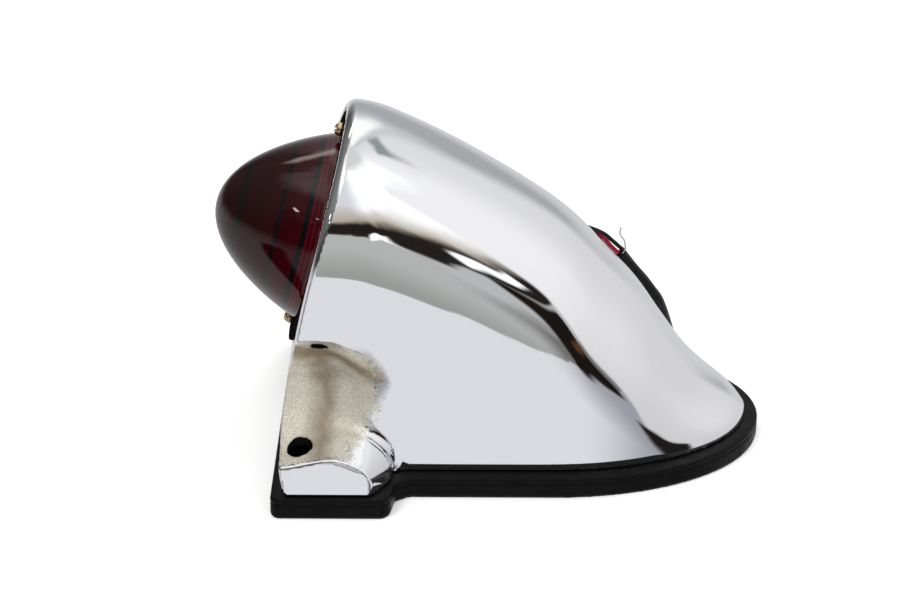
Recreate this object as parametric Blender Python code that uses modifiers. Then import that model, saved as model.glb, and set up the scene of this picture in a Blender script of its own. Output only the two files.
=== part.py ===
"""Boat-tail motorcycle tail light with a ruby bullet lens.

Metres, +Z up. The light stands on its rubber base pad at z = 0. The lens points
towards -Y and a little up, the nose of the housing points towards +Y, and the
plane x = 0 halves the housing.
"""
import math

import bmesh
import bpy
from mathutils import Matrix, Vector

# ---- driving dimensions -------------------------------------------------
GAP = 0.0003                   # clearance kept between touching pieces

PAD_HEIGHT = 0.0077
PAD_EAR_HALF_WIDTH = 0.0700
PAD_SIDE_HALF_WIDTH = 0.0544
PAD_REAR_Y = -0.0784
PAD_EAR_FRONT_Y = -0.0355
PAD_NOSE_Y = 0.1000
NOSE_LENGTH = 0.0786           # from the parallel sides to the tip of the pad

HOUSING_BASE = PAD_HEIGHT + GAP
HOUSING_HALF_WIDTH = 0.0484
HOUSING_NOSE_Y = 0.0951
WALL = 0.0030
EAR_HALF_WIDTH = 0.0675
EAR_TOP = 0.0235
EAR_SCREW_X = 0.0575
EAR_SCREW_Y = -0.0680
EAR_HOLE_RADIUS = 0.0044
UPPER_HOLE_RADIUS = 0.0030

LENS_CENTRE = Vector((0.0, -0.0642, 0.0830))   # centre of the rim plane
LENS_TILT = math.radians(15.0)                 # the lens points this far above level
MOUTH_RADIUS = 0.0438
LENS_RADIUS = 0.0345
LENS_LENGTH = 0.03706
LENS_WALL = 0.0028
FLANGE_RADIUS = 0.0422
SCREW_CIRCLE = 0.0386

SHELL_RADIUS = 0.0088
SHELL_BORE = 0.0080
BULB_BASE_RADIUS = 0.0074
BULB_GLASS_RADIUS = 0.0120
BULB_PIN_Z = -0.0220
PUSH_TRAVEL = 0.0025
TWIST = math.radians(20.0)

CABLE_RADIUS = 0.00195
LEAD_RADIUS = 0.0008
STRAND_RADIUS = 0.0003
EXIT_Y = -0.0200
NOTCH_HALF_WIDTH = 0.0027
NOTCH_HEIGHT = 0.0050

# ridge of the housing: (y, height) along x = 0
RIDGE = [(-0.092, 0.1300), (-0.051, 0.1290), (-0.042, 0.1275), (-0.034, 0.1242),
         (-0.016, 0.1153), (0.010, 0.0996), (0.028, 0.0865), (0.040, 0.0742),
         (0.056, 0.0563), (0.067, 0.0388), (0.073, 0.0300), (0.081, 0.0222),
         (0.089, 0.0165), (0.0951, 0.0105)]

# rear edge of the housing seen from the side: (y, z), from the top down
REAR_EDGE = [(-0.0489, 0.1400), (-0.0712, 0.0570), (-0.0763, 0.0200), (-0.0716, 0.0000)]

# the pocket above each ear, seen from the rear: (x, z)
POCKET = [(0.0900, 0.0605), (0.0486, 0.0605), (0.0360, 0.0430), (0.0460, 0.0290),
          (0.0560, 0.0225), (0.0675, 0.0200), (0.0900, 0.0180)]
# the material left around the pocket inside the housing
POCKET_BACK = [(0.0800, 0.0680), (0.0454, 0.0665), (0.0315, 0.0435), (0.0400, 0.0260),
               (0.0420, -0.0100), (0.0800, -0.0100)]
POCKET_FRONT_Y = -0.0410


# ---- scene and materials -------------------------------------------------
def clear_scene():
    for item in list(bpy.data.objects):
        bpy.data.objects.remove(item, do_unlink=True)


def new_collection(name):
    made = bpy.data.collections.new(name)
    bpy.context.scene.collection.children.link(made)
    return made


def material(name, colour, roughness, metallic=0.0, transmission=0.0):
    made = bpy.data.materials.new(name)
    made.use_nodes = True
    shader = made.node_tree.nodes["Principled BSDF"]
    shader.inputs["Base Color"].default_value = (*colour, 1.0)
    shader.inputs["Roughness"].default_value = roughness
    shader.inputs["Metallic"].default_value = metallic
    shader.inputs["Transmission Weight"].default_value = transmission
    made.diffuse_color = (*colour, 1.0)
    return made


clear_scene()
PARTS = new_collection("tail_light")
CUTTERS = new_collection("cutters")

# colour, roughness, metallic and transmission of each finish
CHROME = ((0.86, 0.87, 0.88), 0.06, 1.0)
RUBBER = ((0.015, 0.015, 0.016), 0.55, 0.0)
RUBY = ((0.28, 0.006, 0.012), 0.05, 0.0, 0.6)
BLACK_STEEL = ((0.02, 0.02, 0.02), 0.4, 0.6)
ZINC_STEEL = ((0.62, 0.63, 0.62), 0.35, 1.0)
BRASS = ((0.72, 0.55, 0.28), 0.3, 1.0)
NICKEL = ((0.7, 0.68, 0.62), 0.25, 1.0)
GLASS = ((0.95, 0.96, 0.96), 0.02, 0.0, 0.9)
FIBRE = ((0.16, 0.08, 0.04), 0.7)
SPRING_STEEL = ((0.55, 0.55, 0.56), 0.3, 1.0)
TUNGSTEN = ((0.3, 0.3, 0.32), 0.4, 1.0)
SOLDER = ((0.6, 0.6, 0.62), 0.35, 1.0)
CABLE_BLACK = ((0.02, 0.02, 0.022), 0.45)
LEAD_RED = ((0.5, 0.01, 0.04), 0.4)
LEAD_BLACK = ((0.02, 0.02, 0.02), 0.4)
TINNED = ((0.7, 0.7, 0.71), 0.3, 1.0)


def finish(item, look, parent=None, cutter=False):
    """Names the material after the piece and puts the piece in its collection."""
    for owner in list(item.users_collection):
        owner.objects.unlink(item)
    (CUTTERS if cutter else PARTS).objects.link(item)
    if cutter:
        item.hide_render = True
        item.display_type = "WIRE"
    else:
        slot = material(item.name, *look)
        item.data.materials.clear()
        item.data.materials.append(slot)
    if parent is not None:
        item.parent = parent
    return item


def mesh_object(name, bm, look=None, parent=None, cutter=False, smooth=True):
    mesh = bpy.data.meshes.new(name)
    bmesh.ops.recalc_face_normals(bm, faces=bm.faces)
    bm.to_mesh(mesh)
    bm.free()
    item = bpy.data.objects.new(name, mesh)
    PARTS.objects.link(item)
    if smooth:
        mesh.shade_smooth()
        mesh.set_sharp_from_angle(angle=math.radians(35))
    return finish(item, look, parent, cutter)


# ---- shapes ---------------------------------------------------------------
def smooth_value(points, at):
    """Reads a smooth curve through (position, value) points, with no overshoot."""
    if at <= points[0][0]:
        return points[0][1]
    if at >= points[-1][0]:
        return points[-1][1]
    slopes = [(b[1] - a[1]) / (b[0] - a[0]) for a, b in zip(points, points[1:])]
    tangents = [slopes[0]]
    for left, right in zip(slopes, slopes[1:]):
        tangents.append(0.0 if left * right <= 0 else 2 * left * right / (left + right))
    tangents.append(slopes[-1])
    index = max(i for i in range(len(points) - 1) if points[i][0] <= at)
    (x0, y0), (x1, y1) = points[index], points[index + 1]
    span = x1 - x0
    t = (at - x0) / span
    return (y0 * (1 + 2 * t) * (1 - t) ** 2 + tangents[index] * span * t * (1 - t) ** 2
            + y1 * t * t * (3 - 2 * t) + tangents[index + 1] * span * t * t * (t - 1))


def nose_half_width(y, half_width, tip_y):
    """Half width of a boat-shaped outline: parallel sides, then an elliptic nose."""
    length = NOSE_LENGTH - (PAD_NOSE_Y - tip_y)
    t = min(max((y - (tip_y - length)) / length, 0.0), 1.0)
    return half_width * math.sqrt(1 - t * t)


def boat_section(y, inset, base, segments=36):
    """Arch-shaped cross-section of the housing at y, drawn in by inset."""
    half = max(nose_half_width(y, HOUSING_HALF_WIDTH - inset, HOUSING_NOSE_Y - inset), 0.0004)
    top = max(smooth_value(RIDGE, y) - inset, HOUSING_BASE + 0.0008)
    height = top - HOUSING_BASE
    rise = min(height, half)
    points = [Vector((half, y, base))]
    for step in range(segments + 1):
        angle = math.pi * step / segments
        points.append(Vector((half * math.cos(angle), y, top - rise + rise * math.sin(angle))))
    points.append(Vector((-half, y, base)))
    return points


def boat_solid(name, inset, base, rear_y, cutter=False):
    """The housing's outside, or its hollow when inset, as one loft along y."""
    tip = HOUSING_NOSE_Y - inset - 0.0001
    side_end = HOUSING_NOSE_Y - (NOSE_LENGTH - (PAD_NOSE_Y - HOUSING_NOSE_Y))
    straight = [rear_y + (side_end - rear_y) * i / 22 for i in range(22)]
    nose = [side_end + (tip - side_end) * math.sin(math.pi / 2 * i / 22) for i in range(23)]
    bm = bmesh.new()
    rings = [[bm.verts.new(p) for p in boat_section(y, inset, base)] for y in straight + nose]
    for ring, following in zip(rings, rings[1:]):
        count = len(ring)
        for i in range(count):
            j = (i + 1) % count
            bm.faces.new((ring[i], ring[j], following[j], following[i]))
    bm.faces.new(rings[0])
    bm.faces.new(rings[-1])
    bmesh.ops.remove_doubles(bm, verts=bm.verts, dist=0.00001)
    return mesh_object(name, bm, CHROME, cutter=cutter)


def prism(name, outline, start, end, axes, look=None, cutter=False, parent=None, holes=()):
    """A flat outline pushed from start to end. axes names the outline's plane."""
    curve = bpy.data.curves.new(name, "CURVE")
    curve.dimensions = "2D"
    curve.fill_mode = "BOTH"
    curve.extrude = (end - start) / 2
    for loop in (outline, *holes):
        spline = curve.splines.new("POLY")
        spline.points.add(len(loop) - 1)
        for point, (u, v) in zip(spline.points, loop):
            point.co = (u, v, 0.0, 1.0)
        spline.use_cyclic_u = True
    middle = (start + end) / 2
    turns = {"xy": Matrix.Translation((0, 0, middle)),
             "xz": Matrix.Translation((0, middle, 0)) @ Matrix.Rotation(math.pi / 2, 4, "X"),
             "yz": Matrix.Translation((middle, 0, 0))
             @ Matrix(((0, 0, 1, 0), (1, 0, 0, 0), (0, 1, 0, 0), (0, 0, 0, 1)))}
    flat = bpy.data.objects.new(name, curve)
    PARTS.objects.link(flat)
    bpy.context.view_layer.update()
    mesh = bpy.data.meshes.new_from_object(flat.evaluated_get(bpy.context.evaluated_depsgraph_get()))
    bpy.data.objects.remove(flat, do_unlink=True)
    bm = bmesh.new()
    bm.from_mesh(mesh)
    bmesh.ops.remove_doubles(bm, verts=bm.verts, dist=0.00001)
    bmesh.ops.transform(bm, matrix=turns[axes], verts=bm.verts)
    return mesh_object(name, bm, look, parent, cutter)


def turned(name, profile, look=None, parent=None, cutter=False, steps=32, closed=True):
    """A turned piece: (radius, z) points down its outside, and back up its bore.

    A profile that starts and ends on the axis isn't closed.
    """
    mesh = bpy.data.meshes.new(name)
    edges = [(i, i + 1) for i in range(len(profile) - 1)]
    if closed:
        edges.append((len(profile) - 1, 0))
    mesh.from_pydata([(r, 0.0, z) for r, z in profile], edges, [])
    item = bpy.data.objects.new(name, mesh)
    PARTS.objects.link(item)
    screw = item.modifiers.new("turn", "SCREW")
    screw.steps = steps
    screw.render_steps = steps
    screw.use_merge_vertices = True
    screw.merge_threshold = 0.00001
    screw.use_smooth_shade = True
    return finish(item, look, parent, cutter)


def cylinder(name, radius, low, high, centre=(0.0, 0.0), look=None, parent=None, cutter=False, steps=24):
    bm = bmesh.new()
    bmesh.ops.create_cone(bm, cap_ends=True, segments=steps, radius1=radius, radius2=radius,
                          depth=high - low)
    bmesh.ops.translate(bm, verts=bm.verts, vec=(centre[0], centre[1], (low + high) / 2))
    return mesh_object(name, bm, look, parent, cutter)


def box(name, low, high, look=None, parent=None, cutter=False):
    bm = bmesh.new()
    bmesh.ops.create_cube(bm, size=1.0)
    size = [b - a for a, b in zip(low, high)]
    middle = [(a + b) / 2 for a, b in zip(low, high)]
    bmesh.ops.scale(bm, verts=bm.verts, vec=size)
    bmesh.ops.translate(bm, verts=bm.verts, vec=middle)
    return mesh_object(name, bm, look, parent, cutter, smooth=False)


def smooth_route(points, spacing):
    """Points at even steps along a smooth curve through the given ones."""
    route = [Vector(p) for p in points]
    ends = [route[0] * 2 - route[1]] + route + [route[-1] * 2 - route[-2]]
    fine = []
    for a, b, c, d in zip(ends, ends[1:], ends[2:], ends[3:]):
        for i in range(24):
            t = i / 24
            fine.append(0.5 * (2 * b + (c - a) * t + (2 * a - 5 * b + 4 * c - d) * t * t
                               + (3 * b - a - 3 * c + d) * t ** 3))
    fine.append(route[-1])
    lengths = [0.0]
    for a, b in zip(fine, fine[1:]):
        lengths.append(lengths[-1] + (b - a).length)
    count = max(2, round(lengths[-1] / spacing))
    picked = []
    index = 0
    for step in range(count + 1):
        goal = lengths[-1] * step / count
        while index < len(fine) - 2 and lengths[index + 1] < goal:
            index += 1
        share = (goal - lengths[index]) / (lengths[index + 1] - lengths[index])
        picked.append(fine[index].lerp(fine[index + 1], min(share, 1.0)))
    return picked


def tube(name, points, radius, look, parent=None, resolution=2):
    """A round wire or cable through the points, with flat ends."""
    curve = bpy.data.curves.new(name, "CURVE")
    curve.dimensions = "3D"
    curve.bevel_depth = radius
    curve.bevel_resolution = resolution
    curve.use_fill_caps = True
    spline = curve.splines.new("POLY")
    spline.points.add(len(points) - 1)
    for point, place in zip(spline.points, points):
        point.co = (*place, 1.0)
    item = bpy.data.objects.new(name, curve)
    PARTS.objects.link(item)
    return finish(item, look, parent)


def cut(item, cutter, operation="DIFFERENCE"):
    change = item.modifiers.new(cutter.name, "BOOLEAN")
    change.operation = operation
    change.object = cutter
    change.solver = "EXACT"


def arc(centre, radius, start, end, count=6):
    """Points on a circle, with angles in degrees."""
    angles = [math.radians(start + (end - start) * i / count) for i in range(count + 1)]
    return [(centre[0] + radius * math.cos(a), centre[1] + radius * math.sin(a)) for a in angles]


def circle(centre, radius, count=24):
    return arc(centre, radius, 0, 360 * (count - 1) / count, count - 1)


def mirrored(outline):
    """The outline's right half, given from the rear to the nose, and its left half."""
    return outline + [(-x, y) for x, y in reversed(outline) if abs(x) > 1e-6]


# ---- lens axis --------------------------------------------------------------
# local z points out of the lens, local y up its rim plane, and z = 0 is the rim
lens_axis = bpy.data.objects.new("lens_axis", None)
PARTS.objects.link(lens_axis)
lens_axis.location = LENS_CENTRE
lens_axis.rotation_euler = (math.pi / 2 - LENS_TILT, 0.0, 0.0)
bpy.context.view_layer.update()
LENS_FRAME = lens_axis.matrix_world.copy()


def on_lens_axis(x, y, z):
    return LENS_FRAME @ Vector((x, y, z))


# ---- base pad -----------------------------------------------------------------
def pad_outline():
    ear = PAD_EAR_HALF_WIDTH
    side = PAD_SIDE_HALF_WIDTH
    corner = 0.0035
    points = arc((ear - corner, PAD_REAR_Y + corner), corner, -90, 0, 4)
    points += arc((ear - 0.005, PAD_EAR_FRONT_Y - 0.005), 0.005, 0, 75, 4)
    points += [(side + 0.0035, PAD_EAR_FRONT_Y + 0.0012), (side, PAD_EAR_FRONT_Y + 0.0060)]
    start = PAD_NOSE_Y - NOSE_LENGTH
    for step in range(21):
        angle = math.pi / 2 * step / 20
        points.append((side * math.cos(angle), start + NOSE_LENGTH * math.sin(angle)))
    points[-1] = (0.0, PAD_NOSE_Y)
    return mirrored(points)


def pad_window():
    side = HOUSING_HALF_WIDTH - 0.0100
    rear = REAR_EDGE[2][0] + 0.0100
    start = PAD_NOSE_Y - NOSE_LENGTH
    length = HOUSING_NOSE_Y - 0.0110 - start
    points = [(side, rear)]
    for step in range(15):
        angle = math.pi / 2 * step / 14
        points.append((side * math.cos(angle), start + length * math.sin(angle)))
    points[-1] = (0.0, start + length)
    return mirrored(points)


def make_base_pad():
    holes = [pad_window()]
    for side in (1, -1):
        holes.append(circle((side * EAR_SCREW_X, EAR_SCREW_Y), EAR_HOLE_RADIUS))
    pad = prism("base_pad", pad_outline(), 0.0, PAD_HEIGHT, "xy", RUBBER, holes=holes)
    notch = box("wire_notch", (-0.0800, EXIT_Y - NOTCH_HALF_WIDTH, -0.0010),
                (-0.0300, EXIT_Y + NOTCH_HALF_WIDTH, NOTCH_HEIGHT), cutter=True)
    cut(pad, notch)


# ---- housing --------------------------------------------------------------------
def ear_outline(side):
    edge = EAR_HALF_WIDTH
    points = [(0.0400, -0.0850), (edge, -0.0850)]
    points += arc((edge - 0.006, -0.0488), 0.006, 0, 60, 4)
    points += [(0.0540, -0.0386), (0.0480, -0.0355), (0.0400, -0.0355)]
    return [(side * x, y) for x, y in points]


def rear_shape(shift):
    edge = [(y + shift, z) for y, z in REAR_EDGE]
    return edge + [(-0.1300, -0.0100), (-0.1300, 0.1500), (-0.0462 + shift, 0.1500)]


def make_housing():
    housing = boat_solid("housing", 0.0, HOUSING_BASE, -0.0920)
    hollow = boat_solid("hollow", WALL, HOUSING_BASE - 0.0020, -0.0910, cutter=True)
    rear = prism("rear_cut", rear_shape(0.0), -0.0900, 0.0900, "yz", cutter=True)
    rear_inside = prism("rear_inside", rear_shape(WALL), -0.0900, 0.0900, "yz", cutter=True)
    mouth = cylinder("mouth", MOUTH_RADIUS, -0.0130, 0.0150, parent=lens_axis, cutter=True, steps=64)
    cut(hollow, rear_inside)
    for side, label in ((1, "near"), (-1, "far")):
        ear = prism("ear_" + label, ear_outline(side), HOUSING_BASE, EAR_TOP, "xy", cutter=True)
        back = prism("pocket_back_" + label, [(side * x, z) for x, z in POCKET_BACK],
                     -0.1000, POCKET_FRONT_Y + WALL, "xz", cutter=True)
        cut(housing, ear, "UNION")
        cut(hollow, back)
    cut(housing, hollow)
    for side, label in ((1, "near"), (-1, "far")):
        pocket = prism("pocket_" + label, [(side * x, z) for x, z in POCKET],
                       -0.1000, POCKET_FRONT_Y, "xz", cutter=True)
        cut(housing, pocket)
        screw_hole = cylinder("ear_hole_" + label, EAR_HOLE_RADIUS, 0.0, 0.0400,
                              (side * EAR_SCREW_X, EAR_SCREW_Y), cutter=True)
        cut(housing, screw_hole)
        upper_hole = cylinder("upper_hole_" + label, UPPER_HOLE_RADIUS, -0.0080, 0.0080, cutter=True)
        upper_hole.location = (side * 0.0447, -0.0611, 0.0553)
        upper_hole.rotation_euler = (0.0, side * math.radians(125.3), 0.0)
        cut(housing, upper_hole)
        boss = cylinder("plate_boss_" + label, 0.0050, -0.0200, -0.0085, (side * 0.0405, 0.0),
                        parent=lens_axis, cutter=True)
        cut(housing, boss, "UNION")
        thread = cylinder("boss_thread_" + label, 0.0018, -0.0180, 0.0, (side * SCREW_CIRCLE, 0.0),
                          parent=lens_axis, cutter=True, steps=12)
        cut(housing, thread)
    cut(housing, rear)
    cut(housing, mouth)


# ---- lens and what holds it ------------------------------------------------------
def dome_radius(radius, length, z):
    return radius * math.sqrt(max(0.0, 1 - (z / length) ** 1.13))


def dome(radius, length, count):
    """Points from the tip of the bullet shape down to its base."""
    points = [(0.0, length)]
    for step in range(1, count + 1):
        z = length * math.cos(math.pi / 2 * step / count)
        points.append((dome_radius(radius, length, z), z if step < count else 0.0))
    return points


FLANGE_TOP = -0.0022
FLANGE_BOTTOM = -0.0046
SEAL_BOTTOM = -0.0064
PLATE_TOP = SEAL_BOTTOM - GAP
PLATE_BOTTOM = PLATE_TOP - 0.0015


def screw_holes(item, radius, low, high, label):
    for sign in (1, -1):
        hole = cylinder("%s_hole_%d" % (label, sign + 2), radius, low, high,
                        (0.0, sign * SCREW_CIRCLE), parent=lens_axis, cutter=True, steps=12)
        cut(item, hole)


def make_lens():
    outside = dome(LENS_RADIUS, LENS_LENGTH, 16)
    inside = dome(LENS_RADIUS - LENS_WALL, LENS_LENGTH - LENS_WALL, 12)
    profile = outside + [(LENS_RADIUS, FLANGE_TOP), (FLANGE_RADIUS, FLANGE_TOP),
                         (FLANGE_RADIUS, FLANGE_BOTTOM), (LENS_RADIUS - LENS_WALL, FLANGE_BOTTOM)]
    profile += list(reversed(inside))
    lens = turned("lens", profile, RUBY, lens_axis, steps=40, closed=False)
    screw_holes(lens, 0.0019, -0.0080, 0.0010, "flange")


def ring_profile(inner, outer, low, high):
    return [(outer, high), (outer, low), (inner, low), (inner, high)]


def make_lens_fixings():
    retainer = turned("lens_retainer", ring_profile(0.0353, 0.0430, -0.0019, -0.0004),
                      BLACK_STEEL, lens_axis, steps=40)
    screw_holes(retainer, 0.0019, -0.0030, 0.0010, "retainer")
    seal = turned("lens_seal", ring_profile(0.0325, FLANGE_RADIUS, SEAL_BOTTOM, FLANGE_BOTTOM - GAP),
                  RUBBER, lens_axis, steps=40)
    screw_holes(seal, 0.0019, -0.0080, -0.0030, "seal")
    head_bottom = -0.0004 + GAP
    for sign, label in ((1, "upper"), (-1, "lower")):
        profile = [(0.0, 0.0027), (0.0012, 0.0026), (0.0020, 0.0020), (0.0025, 0.0012),
                   (0.0025, head_bottom), (0.0015, head_bottom), (0.0015, -0.0120), (0.0, -0.0126)]
        screw = turned("lens_screw_" + label, profile, BRASS, lens_axis, steps=20, closed=False)
        screw.location = (0.0, sign * SCREW_CIRCLE, 0.0)
        slot = box("slot_" + label, (-0.0030, sign * SCREW_CIRCLE - 0.0004, 0.0018),
                   (0.0030, sign * SCREW_CIRCLE + 0.0004, 0.0040), parent=lens_axis, cutter=True)
        cut(screw, slot)


def make_mounting_plate():
    profile = ring_profile(SHELL_RADIUS + GAP, 0.0430, PLATE_BOTTOM, PLATE_TOP)
    plate = turned("mounting_plate", profile, ZINC_STEEL, lens_axis, steps=40)
    screw_holes(plate, 0.0019, -0.0100, -0.0050, "plate")
    for sign, label in ((1, "right"), (-1, "left")):
        hole = cylinder("plate_screw_hole_" + label, 0.0033, -0.0100, -0.0050,
                        (sign * SCREW_CIRCLE, 0.0), parent=lens_axis, cutter=True, steps=20)
        cut(plate, hole)
        top = PLATE_TOP - 0.0001
        head = [(0.0, top), (0.0030, top), (0.0030, top - 0.0008), (0.0015, PLATE_BOTTOM),
                (0.0015, -0.0165), (0.0, -0.0170)]
        screw = turned("plate_screw_" + label, head, ZINC_STEEL, lens_axis, steps=20, closed=False)
        screw.location = (sign * SCREW_CIRCLE, 0.0, 0.0)
        rivet_hole = cylinder("rivet_hole_" + label, 0.0016, -0.0100, -0.0050,
                              (sign * 0.0150, 0.0), parent=lens_axis, cutter=True, steps=12)
        cut(plate, rivet_hole)


# ---- lamp holder -------------------------------------------------------------------
SHELL_TOP = -0.0070
SHELL_BOTTOM = -0.0460
BRACKET_TOP = PLATE_BOTTOM - GAP
CARRIER_TOP = -0.0315
CARRIER_BOTTOM = -0.0345


def make_holder():
    bracket_profile = ring_profile(SHELL_RADIUS + GAP, 0.0200, BRACKET_TOP - 0.0015, BRACKET_TOP)
    bracket = turned("holder_bracket", bracket_profile, ZINC_STEEL, lens_axis, steps=32)
    for sign, label in ((1, "right"), (-1, "left")):
        hole = cylinder("bracket_hole_" + label, 0.0016, -0.0130, -0.0070,
                        (sign * 0.0150, 0.0), parent=lens_axis, cutter=True, steps=12)
        cut(bracket, hole)
        low = BRACKET_TOP - 0.0015 - GAP
        high = PLATE_TOP + GAP
        profile = [(0.0, high + 0.0009), (0.0017, high + 0.0006), (0.0024, high), (0.0012, high),
                   (0.0012, low), (0.0022, low), (0.0022, low - 0.0008), (0.0, low - 0.0008)]
        rivet = turned("bracket_rivet_" + label, profile, ZINC_STEEL, lens_axis, steps=16, closed=False)
        rivet.location = (sign * 0.0150, 0.0, 0.0)
    flange_top = BRACKET_TOP - 0.0015 - GAP
    profile = [(SHELL_RADIUS, SHELL_TOP), (SHELL_RADIUS, flange_top), (0.0105, flange_top),
               (0.0105, flange_top - 0.0010), (SHELL_RADIUS, flange_top - 0.0012),
               (SHELL_RADIUS, SHELL_BOTTOM),
               (0.0040, SHELL_BOTTOM), (0.0040, SHELL_BOTTOM + 0.0012),
               (SHELL_BORE, SHELL_BOTTOM + 0.0012), (SHELL_BORE, SHELL_TOP)]
    shell = turned("holder_shell", profile, NICKEL, lens_axis, steps=32)
    for half in (0, 1):
        seat = box("pin_seat_%d" % half, (0.0050, -0.0022, BULB_PIN_Z - PUSH_TRAVEL - 0.0016),
                   (0.0120, 0.0046, BULB_PIN_Z + 0.0014), parent=lens_axis, cutter=True)
        seat.rotation_euler = (0.0, 0.0, math.pi * half)
        entry = box("pin_entry_%d" % half, (0.0050, -0.0014, BULB_PIN_Z - 0.0010),
                    (0.0120, 0.0014, 0.0), parent=lens_axis, cutter=True)
        entry.rotation_euler = (0.0, 0.0, math.pi * half + TWIST)
        cut(shell, seat)
        cut(shell, entry)


def spring_points(radius, low, high, turns):
    count = turns * 12
    return [(radius * math.cos(2 * math.pi * i / 12), radius * math.sin(2 * math.pi * i / 12),
             low + (high - low) * i / count) for i in range(count + 1)]


def make_contacts():
    carrier = turned("contact_carrier", [(0.0, CARRIER_TOP), (0.0074, CARRIER_TOP),
                                         (0.0074, CARRIER_BOTTOM), (0.0, CARRIER_BOTTOM)],
                     FIBRE, lens_axis, steps=24, closed=False)
    for sign, label in ((1, "stop"), (-1, "tail")):
        hole = cylinder("contact_hole_" + label, 0.0015, -0.0360, -0.0300, (sign * 0.0030, 0.0),
                        parent=lens_axis, cutter=True, steps=12)
        cut(carrier, hole)
        cylinder("contact_" + label, 0.0012, -0.0365, -0.0307, (sign * 0.0030, 0.0),
                 BRASS, lens_axis, steps=12)
    tube("contact_spring", spring_points(0.0058, SHELL_BOTTOM + 0.0019, CARRIER_BOTTOM - 0.0008, 5),
         0.0004, SPRING_STEEL, lens_axis, resolution=1)


# ---- bulb ---------------------------------------------------------------------------
BASE_TOP = -0.0115
BASE_BOTTOM = -0.0290


def make_bulb():
    profile = [(0.0066, BASE_TOP), (0.0071, BASE_TOP - 0.0006), (BULB_BASE_RADIUS, BASE_TOP - 0.0014),
               (BULB_BASE_RADIUS, BASE_BOTTOM + 0.0010), (0.0066, BASE_BOTTOM), (0.0, BASE_BOTTOM)]
    socket = [(0.0, BASE_TOP - 0.0024), (0.0062, BASE_TOP - 0.0024)]
    base = turned("bulb_base", socket + profile, BRASS, lens_axis, closed=False)
    pins = cylinder("bulb_pins", 0.0009, -0.0087, 0.0087, cutter=True, parent=lens_axis, steps=12)
    pins.location = (0.0, 0.0, BULB_PIN_Z)
    pins.rotation_euler = (0.0, math.pi / 2, 0.0)
    cut(base, pins, "UNION")
    for sign, label in ((1, "stop"), (-1, "tail")):
        cylinder("bulb_tip_" + label, 0.0014, BASE_BOTTOM - 0.0014, BASE_BOTTOM - GAP,
                 (sign * 0.0030, 0.0), SOLDER, lens_axis, steps=12)
    make_bulb_glass()
    make_filaments()


def make_bulb_glass():
    """An open-necked glass envelope, a ball on a neck that stands in the base."""
    centre = 0.0060
    radius = BULB_GLASS_RADIUS
    neck = 0.0058
    bottom = BASE_TOP - 0.0020
    join = math.degrees(math.asin(neck / radius))
    outside = arc((0.0, centre), radius, 90, -90 + join, 12)
    inside = arc((0.0, centre), radius - 0.0007, -90 + join + 4, 90, 12)
    profile = [(0.0, outside[0][1])] + outside[1:] + [(neck, bottom), (neck - 0.0007, bottom)]
    profile += inside[:-1] + [(0.0, inside[-1][1])]
    turned("bulb_glass", profile, GLASS, lens_axis, steps=24, closed=False)


def make_filaments():
    bottom = BASE_TOP - 0.0020
    cylinder("bulb_stem", 0.0022, bottom, -0.0030, (0.0, 0.0), GLASS, lens_axis, steps=12)
    for sign, label, height in ((1, "stop", 0.0030), (-1, "tail", 0.0060)):
        foot = -0.0030 + GAP
        route = [(-0.0030, sign * 0.0011, foot + 0.0015), (-0.0032, sign * 0.0016, height),
                 (0.0032, sign * 0.0016, height), (0.0030, sign * 0.0011, foot + 0.0015)]
        tube("filament_" + label, smooth_route(route, 0.0012), 0.0002, TUNGSTEN, lens_axis, resolution=0)


# ---- wiring --------------------------------------------------------------------------
# the cable from the holder down to the notch in the base pad, then over the table and
# up onto the far shoulder of the nose
INNER_ROUTE = [(0.0000, -0.0090, 0.0680), (-0.0050, 0.0010, 0.0600), (-0.0140, 0.0080, 0.0460),
               (-0.0190, 0.0030, 0.0320), (-0.0220, -0.0080, 0.0180), (-0.0260, -0.0165, 0.0080),
               (-0.0330, -0.0197, 0.0027), (-0.0400, -0.0200, 0.00205), (-0.0560, -0.0200, 0.00205)]
OUTER_ROUTE = [(-0.0563, -0.0200, 0.00205), (-0.0620, -0.0200, 0.00205), (-0.0690, -0.0160, 0.00205),
               (-0.0725, -0.0070, 0.00205), (-0.0715, 0.0050, 0.00205), (-0.0695, 0.0180, 0.00205),
               (-0.0690, 0.0320, 0.00205), (-0.0690, 0.0460, 0.00205), (-0.0670, 0.0580, 0.00250),
               (-0.0590, 0.0665, 0.0060), (-0.0480, 0.0698, 0.0130), (-0.0390, 0.0690, 0.0210),
               (-0.0325, 0.0665, 0.0310), (-0.0283, 0.0636, 0.0398), (-0.0270, 0.0605, 0.0448),
               (-0.0279, 0.0576, 0.0485), (-0.0291, 0.0547, 0.0515), (-0.0289, 0.0518, 0.0553),
               (-0.0270, 0.0489, 0.0600)]
LEAD_RED_ROUTE = [(-0.0268, 0.0479, 0.0599), (-0.0269, 0.0466, 0.0611), (-0.0268, 0.0448, 0.0630),
                  (-0.0267, 0.0431, 0.0651), (-0.0272, 0.0413, 0.0667), (-0.0286, 0.0398, 0.0672),
                  (-0.0305, 0.0384, 0.0670)]
LEAD_BLACK_ROUTE = [(-0.0270, 0.0496, 0.0612), (-0.0256, 0.0483, 0.0628), (-0.0249, 0.0455, 0.0657),
                    (-0.0250, 0.0428, 0.0681), (-0.0255, 0.0407, 0.0692), (-0.0280, 0.0385, 0.0691),
                    (-0.0320, 0.0360, 0.0683), (-0.0360, 0.0337, 0.0672)]
STRAND_ROUTE = [(-0.0255, 0.0494, 0.0604), (-0.0245, 0.0502, 0.0628), (-0.0252, 0.0498, 0.0658),
                (-0.0254, 0.0482, 0.0682), (-0.0255, 0.0484, 0.0711)]


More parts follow.
